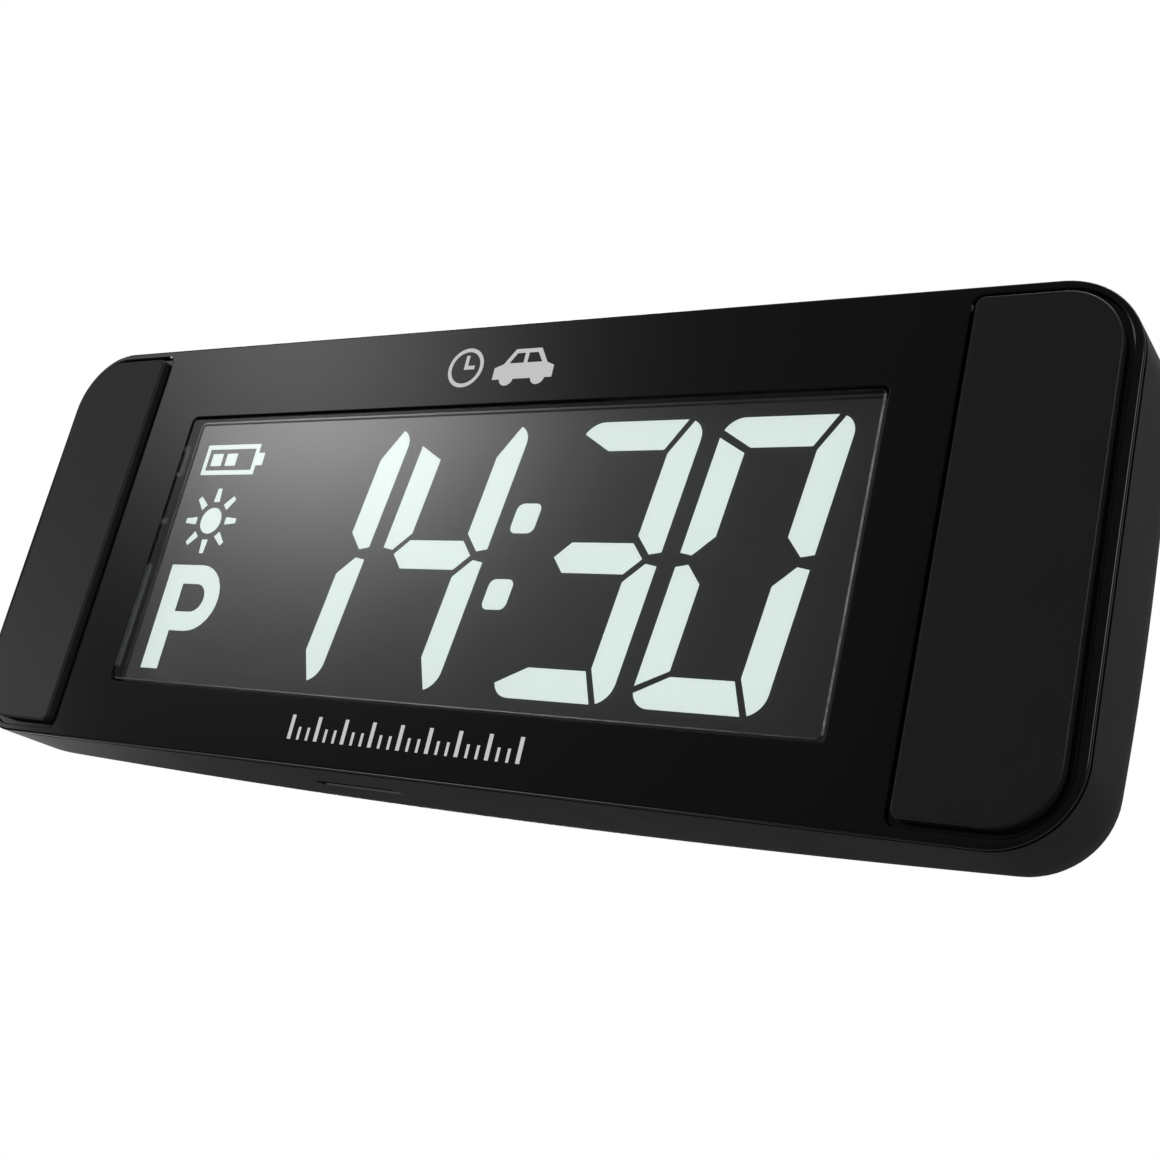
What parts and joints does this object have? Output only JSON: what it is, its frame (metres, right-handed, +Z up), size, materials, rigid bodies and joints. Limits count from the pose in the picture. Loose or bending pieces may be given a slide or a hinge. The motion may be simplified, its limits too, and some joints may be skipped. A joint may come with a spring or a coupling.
{
  "type": "electronic parking disc",
  "caption": "Electronic windscreen parking disc: slim black case with a large segment display, adhesive glass pads, a coin-cell door and recessed setting buttons.",
  "frame": {"origin": "centre of the plane of the two adhesive pads' faces, which is the windscreen's inner face", "axes": "+Z up, +X to the right of someone who reads the display, -Y the way the display faces, through the windscreen"},
  "size_m": [0.098, 0.0178, 0.0364],
  "materials": {
    "cover_gloss": "piano-black moulded cover, very smooth",
    "lens_clear": "clear glossy plastic window with polished edges",
    "pad_rubber": "matte black solid rubber pad with adhesive, fine even grain",
    "display": "negative display glass: dark grey field with pale segments",
    "case_satin": "satin black moulded shell with a fine spark-eroded texture",
    "inner_plastic": "plain black moulded inner plastic",
    "reflector_white": "diffusing white reflector",
    "contact_rubber": "striped conductive contact rubber",
    "board": "green solder-masked circuit board",
    "chip_plastic": "black moulded component bodies",
    "nickel": "nickel-plated cell cans and spring contacts",
    "screw_steel": "blackened steel screws"
  },
  "bodies": {
    "case": {"front_cover": "cover_gloss", "display_lens": "lens_clear", "mounting_pad_left": "pad_rubber", "mounting_pad_right": "pad_rubber", "lcd_front_glass": "display", "lcd_rear_glass": "display", "reflector_plate": "reflector_white", "lcd_frame": "inner_plastic", "zebra_strip": "contact_rubber", "main_pcb": "board", "microcontroller": "chip_plastic", "motion_sensor": "chip_plastic", "clock_crystal": "nickel", "pcb_screw_left": "screw_steel", "pcb_screw_right": "screw_steel", "rear_cover": "case_satin", "cell_holder_left": "inner_plastic", "coin_cell_left": "nickel", "negative_contact_left": "nickel", "positive_contact_left": "nickel", "case_screw_left_lower": "screw_steel", "case_screw_left_upper": "screw_steel", "cell_holder_right": "inner_plastic", "coin_cell_right": "nickel", "negative_contact_right": "nickel", "positive_contact_right": "nickel", "case_screw_right_lower": "screw_steel", "case_screw_right_upper": "screw_steel", "switch_base_hour": "chip_plastic", "switch_base_minute": "chip_plastic", "switch_base_set": "chip_plastic"},
    "door": {"battery_door": "case_satin"},
    "hour_key": {"button_hour": "case_satin", "switch_plunger_hour": "inner_plastic"},
    "minute_key": {"button_minute": "case_satin", "switch_plunger_minute": "inner_plastic"},
    "set_key": {"button_set": "case_satin", "switch_plunger_set": "inner_plastic"}
  },
  "joints": [
    {"name": "battery_door_hinge", "type": "hinge", "parent": "case", "child": "door", "pos_m": [-0.008, 0.01681, 0.0125], "axis": [1, 0, 0], "range_deg": [0, 60]},
    {"name": "hour_button_press", "type": "slide", "parent": "case", "child": "hour_key", "axis": [0, -1, 0], "range_m": [0, 0.0005], "stiffness_N_per_m": 2000},
    {"name": "minute_button_press", "type": "slide", "parent": "case", "child": "minute_key", "axis": [0, -1, 0], "range_m": [0, 0.0005], "stiffness_N_per_m": 2000},
    {"name": "set_button_press", "type": "slide", "parent": "case", "child": "set_key", "axis": [0, -1, 0], "range_m": [0, 0.0005], "stiffness_N_per_m": 2000}
  ]
}
